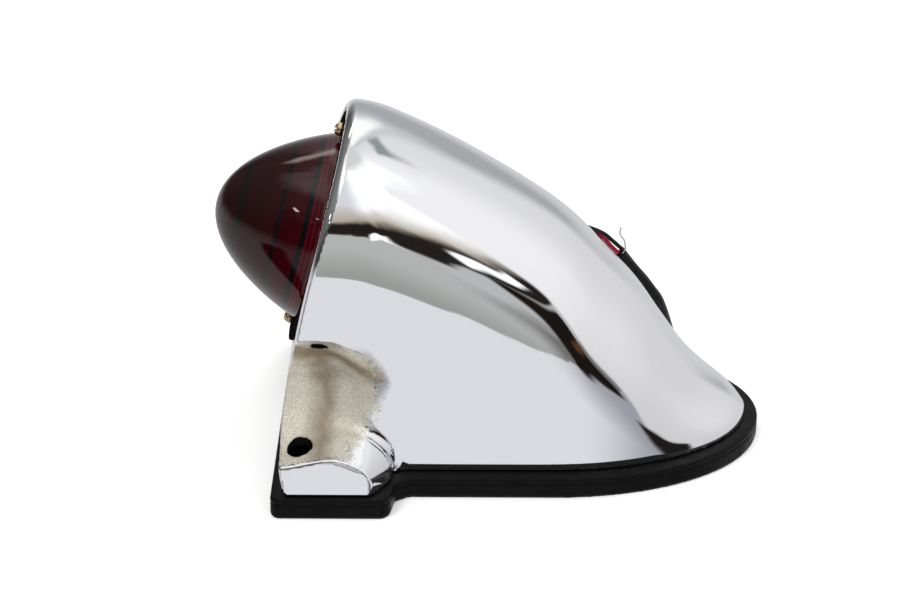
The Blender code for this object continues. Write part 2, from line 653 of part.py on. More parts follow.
def make_wiring():
    for sign, label, look in ((1, "stop", LEAD_RED), (-1, "tail", LEAD_BLACK)):
        start = on_lens_axis(sign * 0.0020, 0.0, -0.0400)
        below = on_lens_axis(sign * 0.0018, 0.0, SHELL_BOTTOM - 0.0030)
        end = Vector(INNER_ROUTE[0]) + Vector((sign * 0.0010, -0.0012, 0.0010))
        route = smooth_route([start, below, below.lerp(end, 0.6) + Vector((sign * 0.001, 0, 0)), end], 0.0030)
        tube("holder_lead_" + label, route, LEAD_RADIUS, look)
    tube("inner_cable", smooth_route(INNER_ROUTE, 0.0050), CABLE_RADIUS, CABLE_BLACK)
    tube("cable", smooth_route(OUTER_ROUTE, 0.0045), CABLE_RADIUS, CABLE_BLACK)
    leads = {"lead_red": (LEAD_RED_ROUTE, LEAD_RADIUS, LEAD_RED),
             "lead_black": (LEAD_BLACK_ROUTE, LEAD_RADIUS, LEAD_BLACK),
             "drain_strand": (STRAND_ROUTE, STRAND_RADIUS, TINNED)}
    for name, (route, radius, look) in leads.items():
        tube(name, smooth_route(route, radius * 2.5), radius, look, resolution=1)


make_base_pad()
make_housing()
make_lens()
make_lens_fixings()
make_mounting_plate()
make_holder()
make_contacts()
make_bulb()
make_wiring()
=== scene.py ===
"""Looks of a boat-tail motorcycle tail light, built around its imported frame.

Metres, +Z up. The lens points towards -Y and a little up, the nose points towards
+Y, and the plane x = 0 halves the housing.
"""
import math

import bmesh
import bpy
import numpy as np
from mathutils import Matrix, Vector


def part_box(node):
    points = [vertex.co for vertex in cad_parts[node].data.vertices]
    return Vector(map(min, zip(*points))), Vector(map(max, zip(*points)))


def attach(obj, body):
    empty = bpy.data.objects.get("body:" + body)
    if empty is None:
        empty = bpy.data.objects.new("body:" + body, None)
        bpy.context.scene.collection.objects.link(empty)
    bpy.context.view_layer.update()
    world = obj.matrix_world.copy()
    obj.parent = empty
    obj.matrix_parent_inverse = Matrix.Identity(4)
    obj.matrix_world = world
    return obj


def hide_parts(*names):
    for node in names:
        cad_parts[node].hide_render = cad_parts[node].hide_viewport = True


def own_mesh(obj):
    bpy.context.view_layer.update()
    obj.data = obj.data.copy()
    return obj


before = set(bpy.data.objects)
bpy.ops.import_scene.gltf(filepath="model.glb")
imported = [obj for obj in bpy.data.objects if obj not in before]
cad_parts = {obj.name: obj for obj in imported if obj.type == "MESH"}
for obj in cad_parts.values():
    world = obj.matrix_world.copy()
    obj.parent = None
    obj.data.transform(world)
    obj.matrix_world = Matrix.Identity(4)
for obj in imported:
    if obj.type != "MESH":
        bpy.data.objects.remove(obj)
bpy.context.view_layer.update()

# ---- sizes shared with the frame
PAD_LOW, PAD_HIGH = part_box("base_pad")
HOUSING_LOW, HOUSING_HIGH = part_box("housing")
LENS_CENTRE = Vector((0.0, -0.0642, 0.083))     # centre of the rim plane
LENS_TILT = math.radians(15.0)
LENS_FRAME = Matrix.Translation(LENS_CENTRE) @ Matrix.Rotation(math.pi / 2 - LENS_TILT, 4, "X")
LENS_RADIUS = 0.0345
LENS_LENGTH = 0.03706
FLANGE_RADIUS = 0.0422
MOUTH_RADIUS = 0.0438
SCREW_CIRCLE = 0.0386
GAP = 0.0003     # between neighbouring pieces

HALF_WIDTH = 0.0484
NOSE_TIP = HOUSING_HIGH.y
NOSE_LENGTH = 0.0737
BASE = HOUSING_LOW.z
WALL = 0.003
EAR_X = 0.0575
EAR_Y = -0.068
EAR_HOLE_RADIUS = 0.0044


def linked(name, data):
    """A new object in the scene."""
    item = bpy.data.objects.new(name, data)
    bpy.context.scene.collection.objects.link(item)
    return item


# ---- camera
def make_camera():
    """A long lens that looks at the near side from above."""
    target = Vector((0.0, -0.01535, 0.05278))
    elevation = math.radians(25.76)
    heading = math.radians(0.6)
    distance = 0.96374
    away = Vector((math.cos(elevation) * math.cos(heading), math.cos(elevation) * math.sin(heading),
                   math.sin(elevation)))
    data = bpy.data.cameras.new("camera")
    data.sensor_width = 36.0
    data.lens = 104.47
    data.clip_start = 0.01
    camera = linked("camera", data)
    camera.location = target + away * distance
    camera.rotation_mode = "QUATERNION"
    camera.rotation_quaternion = (-away).to_track_quat("-Z", "Y")
    bpy.context.scene.camera = camera


make_camera()


# ---- node and material helpers
class Graph:
    """Short calls that add and join shader nodes in one tree."""

    def __init__(self, tree):
        self.tree = tree

    def node(self, kind, inputs=None, **settings):
        """A new node with its settings, and what goes into its sockets by name or number."""
        made = self.tree.nodes.new(kind)
        for name, value in settings.items():
            setattr(made, name, value)
        for key, value in (inputs or {}).items():
            self.join(value, made.inputs[key])
        return made

    def join(self, value, socket):
        """Feeds a socket from another node's output, or sets it to a plain value."""
        if isinstance(value, bpy.types.NodeSocket):
            self.tree.links.new(value, socket)
        else:
            socket.default_value = value

    def math(self, operation, *values):
        return self.node("ShaderNodeMath", dict(enumerate(values)), operation=operation).outputs[0]

    def plus(self, a, b):
        return self.math("ADD", a, b)

    def minus(self, a, b):
        return self.math("SUBTRACT", a, b)

    def larger(self, a, b):
        return self.math("MAXIMUM", a, b)

    def scale_add(self, value, scale, shift):
        return self.math("MULTIPLY_ADD", value, scale, shift)

    def times(self, first, *others):
        for other in others:
            first = self.math("MULTIPLY", first, other)
        return first

    def separate(self, vector, name):
        return self.node("ShaderNodeSeparateXYZ", {0: vector}).outputs[name]

    def step(self, value, start, end, low=0.0, high=1.0):
        """A smooth step from low to high as value goes from start to end."""
        inputs = {"Value": value, "From Min": start, "From Max": end, "To Min": low, "To Max": high}
        return self.node("ShaderNodeMapRange", inputs, interpolation_type="SMOOTHSTEP").outputs[0]

    def within(self, value, low, high, soft):
        """One between low and high, and zero outside, with soft edges."""
        rising = self.step(value, self.minus(low, soft), self.plus(low, soft))
        falling = self.step(value, self.plus(high, soft), self.minus(high, soft))
        return self.times(rising, falling)

    def blend(self, factor, first, second):
        """Mixes two colours, each a plain (r, g, b) or another node's output."""
        first, second = (value if isinstance(value, bpy.types.NodeSocket) else (*value, 1.0)
                         for value in (first, second))
        return self.node("ShaderNodeMix", {0: factor, 6: first, 7: second}, data_type="RGBA").outputs[2]

    def noise(self, scale, detail=3.0, roughness=0.55, place=None):
        """Noise over the graph's own place, or over another one."""
        inputs = {"Vector": place or self.place, "Scale": scale, "Detail": detail, "Roughness": roughness}
        return self.node("ShaderNodeTexNoise", inputs).outputs["Fac"]


class Look(Graph):
    """A material under construction."""

    def __init__(self, name, colour, metallic=0.0, roughness=0.5, **sockets):
        self.material = bpy.data.materials.new(name)
        self.material.use_nodes = True
        super().__init__(self.material.node_tree)
        self.shader = self.tree.nodes["Principled BSDF"]
        self.set("Base Color", (*colour, 1.0))
        self.set("Metallic", metallic)
        self.set("Roughness", roughness)
        for socket, value in sockets.items():
            self.set(socket.replace("_", " "), value)
        self.material.diffuse_color = (*colour, 1.0)
        self.place = self.node("ShaderNodeTexCoord").outputs["Object"]

    def set(self, socket, value):
        self.join(value, self.shader.inputs[socket])

    def colour(self, value):
        self.set("Base Color", value)

    def roughness(self, value):
        self.set("Roughness", value)

    def axis(self, name):
        return self.separate(self.place, name)

    def along_lens(self):
        """How far a point lies out along the lens's axis from the rim plane."""
        out = LENS_FRAME.to_3x3().col[2]
        made = self.node("ShaderNodeVectorMath", {0: self.place, 1: out}, operation="DOT_PRODUCT")
        return self.minus(made.outputs["Value"], out.dot(LENS_CENTRE))

    def from_lens_axis(self):
        """How far a point lies from the lens's axis."""
        away = self.node("ShaderNodeVectorMath", {0: self.place, 1: LENS_CENTRE}, operation="DISTANCE")
        out = self.along_lens()
        away_squared = self.math("POWER", away.outputs["Value"], 2.0)
        square = self.minus(away_squared, self.times(out, out))
        return self.math("SQRT", self.larger(square, 0.0))

    def stretch(self, scale):
        return self.node("ShaderNodeMapping", {"Vector": self.place, "Scale": scale}).outputs[0]

    def mix(self, factor, first, second):
        return self.node("ShaderNodeMix", {0: factor, 2: first, 3: second}, data_type="FLOAT").outputs[0]

    def radius_from(self, u, centre_u, v, centre_v):
        """Distance from a line, given two coordinates across it."""
        du = self.minus(u, centre_u)
        dv = self.minus(v, centre_v)
        squares = self.plus(self.times(du, du), self.times(dv, dv))
        return self.math("SQRT", squares)

    def bump(self, height, distance, strength=1.0):
        """Adds a bump, on top of any bump that is there already."""
        made = self.node("ShaderNodeBump", {"Height": height, "Distance": distance, "Strength": strength})
        normal = self.shader.inputs["Normal"]
        if normal.links:
            self.join(normal.links[0].from_socket, made.inputs["Normal"])
        self.join(made.outputs[0], normal)


# ---- mesh helpers
def new_piece(name, data, look, body="housing", matrix=None, replaces=()):
    """Links a piece, gives it its finish and rides it on a body of the frame."""
    piece = linked(name, data)
    if matrix is not None:
        data.transform(matrix)
    data.materials.clear()
    data.materials.append(look)
    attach(piece, body)
    if replaces:
        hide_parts(*replaces)
    return piece


def smooth_mesh(name, bm, angle=35.0):
    mesh = bpy.data.meshes.new(name)
    bmesh.ops.recalc_face_normals(bm, faces=bm.faces)
    bm.to_mesh(mesh)
    bm.free()
    mesh.shade_smooth()
    mesh.set_sharp_from_angle(angle=math.radians(angle))
    return mesh


def lathe(name, profile, steps=128, angle=35.0):
    """Turns (radius, z) points about local z. A closed profile repeats its first point."""
    bm = bmesh.new()
    rings = []
    for radius, z in profile:
        if radius < 1e-6:
            rings.append([bm.verts.new((0.0, 0.0, z))])
            continue
        angles = [2 * math.pi * i / steps for i in range(steps)]
        rings.append([bm.verts.new((radius * math.cos(a), radius * math.sin(a), z)) for a in angles])
    for ring, following in zip(rings, rings[1:]):
        for i in range(steps):
            j = (i + 1) % steps
            corners = [ring[i % len(ring)], following[i % len(following)],
                       following[j % len(following)], ring[j % len(ring)]]
            unique = list(dict.fromkeys(corners))
            if len(unique) > 2:
                bm.faces.new(unique)
    bmesh.ops.remove_doubles(bm, verts=bm.verts, dist=1e-7)
    return smooth_mesh(name, bm, angle)


def rounded(outline, radius, steps=4):
    """Rounds each corner of an open (r, z) profile, where its sides leave room for it."""
    points = [Vector(p) for p in outline]
    result = [points[0]]
    for before, corner, after in zip(points, points[1:], points[2:]):
        to_before = before - corner
        to_after = after - corner
        reach = min(radius, to_before.length / 2.2, to_after.length / 2.2)
        start = corner + to_before.normalized() * reach
        end = corner + to_after.normalized() * reach
        for i in range(steps + 1):
            t = i / steps
            result.append(start * (1 - t) ** 2 + corner * 2 * t * (1 - t) + end * t * t)
    result.append(points[-1])
    return [(p.x, p.y) for p in result]


def arc(centre, radius, start, end, count=12):
    angles = [math.radians(start + (end - start) * i / count) for i in range(count + 1)]
    return [(centre[0] + radius * math.cos(a), centre[1] + radius * math.sin(a)) for a in angles]


# ---- distance fields
# a field takes an (n, 3) array of points, and is below zero inside the material
def round_union(a, b, radius):
    """Where either is, with the shared corner filled."""
    hollow = np.maximum(radius - a, 0.0) ** 2 + np.maximum(radius - b, 0.0) ** 2
    return np.maximum(radius, np.minimum(a, b)) - np.sqrt(hollow)


def round_cross(a, b, radius):
    """Where both are, with the shared edge rounded."""
    bulge = np.maximum(radius + a, 0.0) ** 2 + np.maximum(radius + b, 0.0) ** 2
    return np.minimum(-radius, np.maximum(a, b)) + np.sqrt(bulge)


def polygon_distance(u, v, outline):
    """Signed distance to a closed outline, below zero inside."""
    nearest = np.full(u.shape, np.inf)
    sign = np.ones(u.shape)
    for (au, av), (bu, bv) in zip(outline, outline[1:] + outline[:1]):
        eu, ev = bu - au, bv - av
        wu, wv = u - au, v - av
        t = np.clip((wu * eu + wv * ev) / (eu * eu + ev * ev), 0.0, 1.0)
        nearest = np.minimum(nearest, (wu - eu * t) ** 2 + (wv - ev * t) ** 2)
        above, under = v >= av, v < bv
        left = eu * wv > ev * wu
        flips = (above & under & left) | (~above & ~under & ~left)
        sign = np.where(flips, -sign, sign)
    return sign * np.sqrt(nearest)


def smoothstep(value, start, end):
    t = np.clip((value - start) / (end - start), 0.0, 1.0)
    return t * t * (3 - 2 * t)


def hump(value, centre, width):
    """A smooth hump, one high."""
    return np.exp(-((value - centre) / width) ** 2)


def gradient(field, points, reach=0.00004):
    """The field's slope at each point."""
    parts = []
    for axis in range(3):
        shift = np.zeros(3)
        shift[axis] = reach
        parts.append(field(points + shift) - field(points - shift))
    return np.stack(parts, -1) / (2 * reach)


def surface_net(field, low, high, step):
    """Vertices, quads and normals of the surface where the field is zero."""
    counts = np.ceil((np.array(high) - np.array(low)) / step).astype(int) + 1
    axes = [low[i] + step * np.arange(counts[i]) for i in range(3)]
    sheet = np.stack(np.meshgrid(axes[1], axes[2], indexing="ij"), -1).reshape(-1, 2)
    values = np.empty(counts)
    for i, x in enumerate(axes[0]):
        values[i] = field(np.column_stack([np.full(len(sheet), x), sheet])).reshape(counts[1:])
    inside = values < 0
    filled = sum(inside[i:counts[0] - 1 + i, j:counts[1] - 1 + j, k:counts[2] - 1 + k].astype(np.int8)
                 for i in (0, 1) for j in (0, 1) for k in (0, 1))
    active = (filled > 0) & (filled < 8)
    index = np.full(active.shape, -1)
    index[active] = np.arange(active.sum())
    cells = np.argwhere(active)
    total = np.zeros((len(cells), 3))
    hits = np.zeros(len(cells))
    units = np.eye(3, dtype=int)
    for axis, along in enumerate(units):
        others = np.delete(units, axis, axis=0)
        for shift in ((0, 0), (0, 1), (1, 0), (1, 1)):
            start = cells + shift[0] * others[0] + shift[1] * others[1]
            first = values[tuple(start.T)]
            second = values[tuple((start + along).T)]
            crossed = (first < 0) != (second < 0)
            share = np.where(crossed, first / np.where(crossed, first - second, 1.0), 0.0)
            total += np.where(crossed[:, None], start + share[:, None] * along, 0.0)
            hits += crossed
    points = np.array(low) + step * total / hits[:, None]
    quads = []
    for axis in range(3):
        others = np.delete(units, axis, axis=0)
        moved = np.moveaxis(inside, axis, 0)
        changed = np.moveaxis(moved[:-1] != moved[1:], 0, axis)
        starts = np.argwhere(changed)
        starts = starts[(starts @ others.T).min(1) > 0]
        ring = [starts, starts - others[0], starts - others[0] - others[1], starts - others[1]]
        corners = np.stack([index[tuple(c.T)] for c in ring], 1)
        outward = inside[tuple(starts.T)] != (axis == 1)
        corners[~outward] = corners[~outward, ::-1]
        quads.append(corners)
    quads = np.concatenate(quads)
    for _ in range(4):
        slope = gradient(field, points)
        size = np.maximum((slope ** 2).sum(1), 0.04)
        move = np.clip(field(points) / np.sqrt(size), -step / 2, step / 2)
        points = points - slope / np.sqrt(size)[:, None] * move[:, None]
    normals = gradient(field, points)
    normals /= np.maximum(np.linalg.norm(normals, axis=1, keepdims=True), 1e-9)
    return points, quads, normals


def field_mesh(name, field, low, high, step):
    """A smooth mesh of a field's surface, with normals from the field itself."""
    points, quads, normals = surface_net(field, low, high, step)
    mesh = bpy.data.meshes.new(name)
    mesh.from_pydata(points.tolist(), [], quads.tolist())
    mesh.update()
    mesh.shade_smooth()
    mesh.normals_split_custom_set_from_vertices(normals.tolist())
    return mesh


# ---- housing
# the ridge as in the frame: (y, height) along x = 0
RIDGE = [(-0.092, 0.13), (-0.051, 0.129), (-0.042, 0.1275), (-0.034, 0.1242),
         (-0.016, 0.1153), (0.01, 0.0996), (0.028, 0.0865), (0.04, 0.0742),
         (0.056, 0.0563), (0.067, 0.0388), (0.073, 0.03), (0.081, 0.0222),
         (0.089, 0.0165), (0.0951, 0.0105)]
# the rear edge seen from the side: (y, z), from the top down
REAR_EDGE = [(-0.0489, 0.14), (-0.0712, 0.057), (-0.0763, 0.02), (-0.0716, 0.0000)]
# the pocket above each ear, seen from the rear: (x, z)
POCKET = [(0.09, 0.0605), (0.0486, 0.0605), (0.036, 0.043), (0.046, 0.029),
          (0.056, 0.0225), (0.0675, 0.02), (0.09, 0.018)]
POCKET_FRONT = -0.0385
UPPER_HOLE = Vector((0.0447, -0.0611, 0.0553))
UPPER_HOLE_TILT = math.radians(125.3)
UPPER_HOLE_RADIUS = 0.003
EAR_TOP = 0.0235
EAR_EDGE = 0.0675
EAR_FALL_START = -0.059
MOUTH_FLOOR = -0.013
STATION_STEP = 0.00025
PLATE_COLOUR = (0.9, 0.91, 0.925)


def smooth_values(points, stations):
    """A smooth curve through (position, value) points, with no overshoot."""
    xs, ys = np.array(points).T
    slopes = np.diff(ys) / np.diff(xs)
    left, right = slopes[:-1], slopes[1:]
    middle = np.where(left * right > 0, 2 * left * right / (left + right), 0.0)
    tangents = np.concatenate([[slopes[0]], middle, [slopes[-1]]])
    at = np.clip(stations, xs[0], xs[-1])
    i = np.clip(np.searchsorted(xs, at, side="right") - 1, 0, len(xs) - 2)
    span = xs[i + 1] - xs[i]
    t = (at - xs[i]) / span
    return (ys[i] * (1 + 2 * t) * (1 - t) ** 2 + tangents[i] * span * t * (1 - t) ** 2
            + ys[i + 1] * t * t * (3 - 2 * t) + tangents[i + 1] * span * t * t * (t - 1))


def blurred(values, radius):
    """Values at the stations, smoothed over a radius."""
    reach = int(3 * radius / STATION_STEP)
    kernel = np.exp(-0.5 * (np.arange(-reach, reach + 1) * STATION_STEP / radius) ** 2)
    padded = np.pad(values, reach, mode="reflect", reflect_type="odd")
    return np.convolve(padded, kernel / kernel.sum(), mode="valid")


def hull_tables():
    """Half width, arch rise and arch centre at each station along y, and their slopes."""
    stations = np.arange(-0.095, NOSE_TIP + STATION_STEP, STATION_STEP)
    along = np.clip((stations - (NOSE_TIP - NOSE_LENGTH)) / NOSE_LENGTH, 0.0, 0.99997)
    half = HALF_WIDTH * np.sqrt(1 - along ** 2)
    half += (blurred(half, 0.005) - half) * (1 - smoothstep(along, 0.45, 0.75))
    top = blurred(smooth_values(RIDGE, stations), 0.003)
    top += (smooth_values(RIDGE, stations) - top) * smoothstep(stations, 0.08, 0.092)
    height = np.maximum(top - BASE, 0.0008)
    soft = 0.003
    rise = -soft * np.log(np.exp(-height / soft) + np.exp(-half / soft))
    rise = np.minimum(rise, height)
    tables = [half, rise, top - rise]
    return stations, tables + [np.gradient(table, STATION_STEP) for table in tables]


STATIONS, HULL = hull_tables()


def hull_distance(x, y, z):
    """Distance to the arched boat shape, open downwards."""
    half, rise, centre, half_slope, rise_slope, centre_slope = (
        np.interp(y, STATIONS, table) for table in HULL)
    lift = np.maximum(z - centre, 0.0)
    across = x / half
    above = lift / rise
    q = np.maximum(np.sqrt(across ** 2 + above ** 2), 0.05)
    slope_x = across / half
    slope_z = above / rise
    slope_y = across ** 2 * half_slope / half + above ** 2 * rise_slope / rise
    slope_y += above * centre_slope / rise
    steepness = np.sqrt(slope_x ** 2 + slope_y ** 2 + slope_z ** 2) / q
    return np.maximum((q - 1) / np.maximum(steepness, 1.0), y - NOSE_TIP)


def rear_distance(y, z):
    """Above zero behind the housing's rear edge."""
    distance = np.full(y.shape, -1.0)
    for (ay, az), (by, bz) in zip(REAR_EDGE, REAR_EDGE[1:]):
        length = math.hypot(ay - by, az - bz)
        side = ((ay - y) * (az - bz) - (az - z) * (ay - by)) / length
        distance = np.where(distance < -0.9, side, round_cross(distance, side, 0.004))
    return distance


def ear_outline():
    """An ear seen from above, from well inside the housing."""
    corner = 0.0026
    points = [(0.04, -0.085), (EAR_EDGE, -0.085)]
    points += arc((EAR_EDGE - corner, -0.0415 - corner), corner, 0, 68, 5)
    return points + [(0.056, -0.0356), (0.04, -0.0356)]


EAR_OUTLINE = ear_outline()
POCKET_OUTLINE = rounded(POCKET, 0.004, 5)


def pocket_distance(side, y, z):
    """Below zero in the scooped pocket over an ear, whose floor crowns along the ear."""
    crown = 0.0036 * hump(y, -0.056, 0.013) - 0.0014
    floor_z = z - crown * smoothstep(side, 0.048, 0.06)
    fold_line = z + 0.55 * (y + 0.06)
    fold = 0.0035 * hump(fold_line, 0.0505, 0.0045) * smoothstep(y, -0.068, -0.056)
    fold *= smoothstep(y, -0.046, -0.054)
    run_out = 0.006 * smoothstep(y, -0.062, -0.04) - fold
    scoop = polygon_distance(side - run_out, floor_z, POCKET_OUTLINE)
    return round_cross(scoop, y - POCKET_FRONT, 0.012)


def to_lens(points):
    """Coordinates on the lens's axis: z points out of the lens, and z = 0 is the rim."""
    turn = np.array(LENS_FRAME.to_3x3())
    return (points - np.array(LENS_CENTRE)) @ turn


def ear_distance(side, y, z):
    """The screw ear, whose top falls in a curve to the pad at its front corner."""
    inboard = np.clip((EAR_EDGE - side) / 0.0135, 0.0, 1.0)
    fall_length = 0.0176 + 0.0064 * inboard
    fallen = np.maximum(y - EAR_FALL_START, 0.0) / fall_length
    height = np.sqrt(np.clip(1 - fallen ** 2, 0.0, 1.0))
    top = BASE + (EAR_TOP + 0.004 * inboard - BASE) * height
    return round_cross(polygon_distance(side, y, EAR_OUTLINE), (z - top) * 0.7, 0.0009)


def screw_boss(lens):
    """The two bosses behind the mouth for the plate's screws."""
    across = np.hypot(np.abs(lens[:, 0]) - 0.0405, lens[:, 1]) - 0.005
    return np.maximum(across, np.abs(lens[:, 2] + 0.016) - 0.004)


def screw_thread(lens):
    across = np.hypot(np.abs(lens[:, 0]) - SCREW_CIRCLE, lens[:, 1]) - 0.0018
    return np.maximum(across, np.abs(lens[:, 2] + 0.009) - 0.009)


def upper_hole_distance(side, y, z):
    """The slanting hole near the top of each pocket."""
    along, up = math.sin(UPPER_HOLE_TILT), math.cos(UPPER_HOLE_TILT)
    off_x, off_y, off_z = side - UPPER_HOLE.x, y - UPPER_HOLE.y, z - UPPER_HOLE.z
    across = np.hypot(off_y, off_x * up - off_z * along) - UPPER_HOLE_RADIUS
    return np.maximum(across, np.abs(off_x * along + off_z * up) - 0.008)


def housing_field(points):
    x, y, z = points.T
    side = np.abs(x)
    hull = hull_distance(x, y, z)
    solid = round_union(hull, ear_distance(side, y, z), 0.0045)
    pocket = pocket_distance(side, y, z)
    rear = rear_distance(y, z)
    lip = 0.0019 + 0.0019 * smoothstep(z, 0.09, 0.118)
    lip = 0.0008 + (lip - 0.0008) * smoothstep(z, 0.038, 0.056)
    shell = round_cross(solid, -pocket, 0.0009 + 0.005 * smoothstep(y, -0.06, -0.043))
    shell = round_cross(shell, rear, lip)
    hollow = np.maximum(np.maximum(hull + WALL, rear + WALL), WALL - pocket)
    hollow = np.maximum(hollow, shell + 0.8 * WALL)
    shell = np.maximum(shell, -hollow)
    lens = to_lens(points)
    shell = np.minimum(shell, np.maximum(screw_boss(lens), hull))
    shell = np.maximum(shell, -screw_thread(lens))
    mouth = np.maximum(np.hypot(lens[:, 0], lens[:, 1]) - MOUTH_RADIUS, MOUTH_FLOOR - lens[:, 2])
    shell = round_cross(shell, -mouth, 0.0014)
    ear_hole = np.hypot(side - EAR_X, y - EAR_Y) - EAR_HOLE_RADIUS
    shell = np.where(z < 0.04, round_cross(shell, -ear_hole, 0.0005), shell)
    shell = np.maximum(shell, -upper_hole_distance(side, y, z))
    return np.maximum(shell, BASE - z)


def cast_share(look, side, y, z, ragged, patchy):
    """One on the rough cast floor of a pocket, with a ragged edge, and zero on the plate."""
    forward = look.scale_add(y, 1 / 0.046, 0.085 / 0.046)
    over = look.scale_add(z, 1 / 0.0116, -0.0462 / 0.0116)
    under = look.scale_add(z, -1 / 0.031, 0.0462 / 0.031)
    reach = look.larger(over, under)
    spread = look.plus(look.math("POWER", forward, 3.0), look.math("POWER", reach, 3.0))
    spread = look.scale_add(ragged, 1.8, look.scale_add(patchy, 0.5, spread))
    facing = look.node("ShaderNodeNewGeometry").outputs["Normal"]
    not_rear = look.step(look.separate(facing, "Y"), -0.9, -0.75)
    not_hull = look.step(look.scale_add(side, 0.35, z), 0.0385, 0.0405)
    not_ear_side = look.step(side, 0.0678, 0.0672)
    off_edge = look.step(look.scale_add(ragged, 0.008, side), 0.0672, 0.064)
    worn = look.times(look.step(z, 0.029, 0.025), look.minus(1.0, off_edge))
    near = look.step(spread, 1.08, 0.8)
    return look.times(near, not_rear, not_hull, not_ear_side, look.minus(1.0, worn))


def cast_colour(look, grain, y, z, patchy):
    """Sandy nickel, with painted shade: browner in a band under the pocket's top and in its valley."""
    colour = look.blend(grain, (0.58, 0.53, 0.41), (0.93, 0.91, 0.8))
    warm = look.step(look.noise(45.0, 3.0, 0.6), 0.4, 0.7)
    colour = look.blend(look.times(warm, 0.35), colour, (0.6, 0.52, 0.41))
    slanted = look.scale_add(patchy, 0.01, look.scale_add(y, 0.3, z))
    # painted shade: brown in a band under the pocket's top and in its valley
    band = look.within(slanted, 0.0295, 0.036, 0.0025)
    valley = look.within(look.scale_add(patchy, 0.012, y), -0.0632, -0.0572, 0.0045)
    painted_shade = look.times(look.larger(band, valley), 0.8)
    return look.blend(painted_shade, colour, (0.27, 0.2, 0.12))


def bare_and_shaded_holes(look, side, y, z):
    """One down the ear holes and the upper holes, where there is no plate and the bare metal is painted near
    black as shade.
    """
    reach = 0.0001
    from_ear_hole = look.radius_from(side, EAR_X, y, EAR_Y)
    down_ear = look.math("LESS_THAN", from_ear_hole, EAR_HOLE_RADIUS + reach)
    down_ear = look.times(down_ear, look.math("LESS_THAN", z, 0.03))
    along, up = math.sin(UPPER_HOLE_TILT), math.cos(UPPER_HOLE_TILT)
    across = look.plus(look.times(side, up), look.times(z, -along))
    centre = UPPER_HOLE.x * up - UPPER_HOLE.z * along
    from_upper = look.radius_from(across, centre, y, UPPER_HOLE.y)
    down_upper = look.math("LESS_THAN", from_upper, UPPER_HOLE_RADIUS + reach)
    down_upper = look.times(down_upper, look.math("LESS_THAN", z, 0.06))
    return look.larger(down_ear, down_upper)


def chrome_look():
    """Bright plate, rough cast nickel with painted shade in the pockets, and bare metal painted near black
    as shade down the holes.
    """
    look = Look("chrome", PLATE_COLOUR, 1.0, 0.035)
    x, y, z = (look.axis(name) for name in "XYZ")
    side = look.math("ABSOLUTE", x)
    ragged = look.minus(look.noise(900.0, 5.0, 0.75), 0.5)
    patchy = look.minus(look.noise(80.0, 3.0, 0.6), 0.5)
    cast = cast_share(look, side, y, z, ragged, patchy)
    bare = bare_and_shaded_holes(look, side, y, z)
    sand = look.noise(2000.0, 6.0, 0.75)
    grain = look.step(sand, 0.38, 0.6)
    dust = look.step(look.noise(120.0, 5.0, 0.6), 0.62, 0.8)
    stain = look.times(dust, look.step(z, 0.019, 0.01))
    plate = look.blend(look.times(stain, 0.55), PLATE_COLOUR, (0.7, 0.64, 0.54))
    surface = look.blend(cast, plate, cast_colour(look, grain, y, z, patchy))
    # painted shade: the holes are coloured near black
    look.colour(look.blend(bare, surface, (0.01, 0.009, 0.008)))
    near_mouth = look.step(look.from_lens_axis(), MOUTH_RADIUS + 0.0019, MOUTH_RADIUS + 0.0014)
    rim = look.times(near_mouth, look.step(look.along_lens(), -0.006, -0.005))
    rough = look.step(look.noise(45.0, 4.0, 0.6), 0.35, 0.75, 0.02, 0.05)
    rough = look.scale_add(stain, 0.12, rough)
    rough = look.mix(cast, rough, look.step(grain, 0.0, 1.0, 0.46, 0.3))
    rough = look.plus(rough, look.times(rim, 0.25))
    look.roughness(look.mix(bare, rough, 0.8))
    look.bump(look.noise(17.0, 2.0, 0.5, look.stretch((1.0, 0.55, 1.0))), 0.0011, 0.28)
    look.set("Metallic", look.mix(rim, look.mix(cast, 1.0, 0.55), 0.2))
    look.bump(sand, 0.00018, cast)
    return look.material


# the corners of the space that holds its surface
LOW = (-0.069, -0.079, 0.006)
HIGH = (0.069, 0.0975, 0.132)
GRID = 0.0009
housing_mesh = field_mesh("tail_housing", housing_field, LOW, HIGH, GRID)
new_piece("tail_housing", housing_mesh, chrome_look(), replaces=["housing"])


# ---- base pad
PAD_NOSE_LENGTH = 0.0786
NOTCH_Y = -0.02


def boat_outline(side, nose, length, points):
    """The right half of a boat-shaped outline, continued from the given points to the nose."""
    start = nose - length
    half = list(points) + [(side * math.cos(a), start + length * math.sin(a))
                           for a in (math.pi / 2 * i / 28 for i in range(28))] + [(0.0, nose)]
    return half + [(-x, y) for x, y in reversed(half) if abs(x) > 1e-6]


def pad_outlines():
    """The pad's outer edge, with its ears, and the window inside it."""
    ear, side, ear_front, corner = 0.07, 0.0544, -0.0355, 0.0035
    points = arc((ear - corner, PAD_LOW.y + corner), corner, -90, 0, 6)
    points += arc((ear - 0.005, ear_front - 0.005), 0.005, 0, 75, 6)
    points += [(side + 0.0035, ear_front + 0.0012), (side, ear_front + 0.006)]
    outer = boat_outline(side, PAD_HIGH.y, PAD_NOSE_LENGTH, points)
    inner_side = HALF_WIDTH - 0.01
    inner_rear, inner_nose = -0.0663, NOSE_TIP - 0.011
    inner = boat_outline(inner_side, inner_nose, inner_nose - PAD_HIGH.y + PAD_NOSE_LENGTH,
                         [(inner_side, inner_rear)])
    return outer, inner


PAD_OUTER, PAD_INNER = pad_outlines()


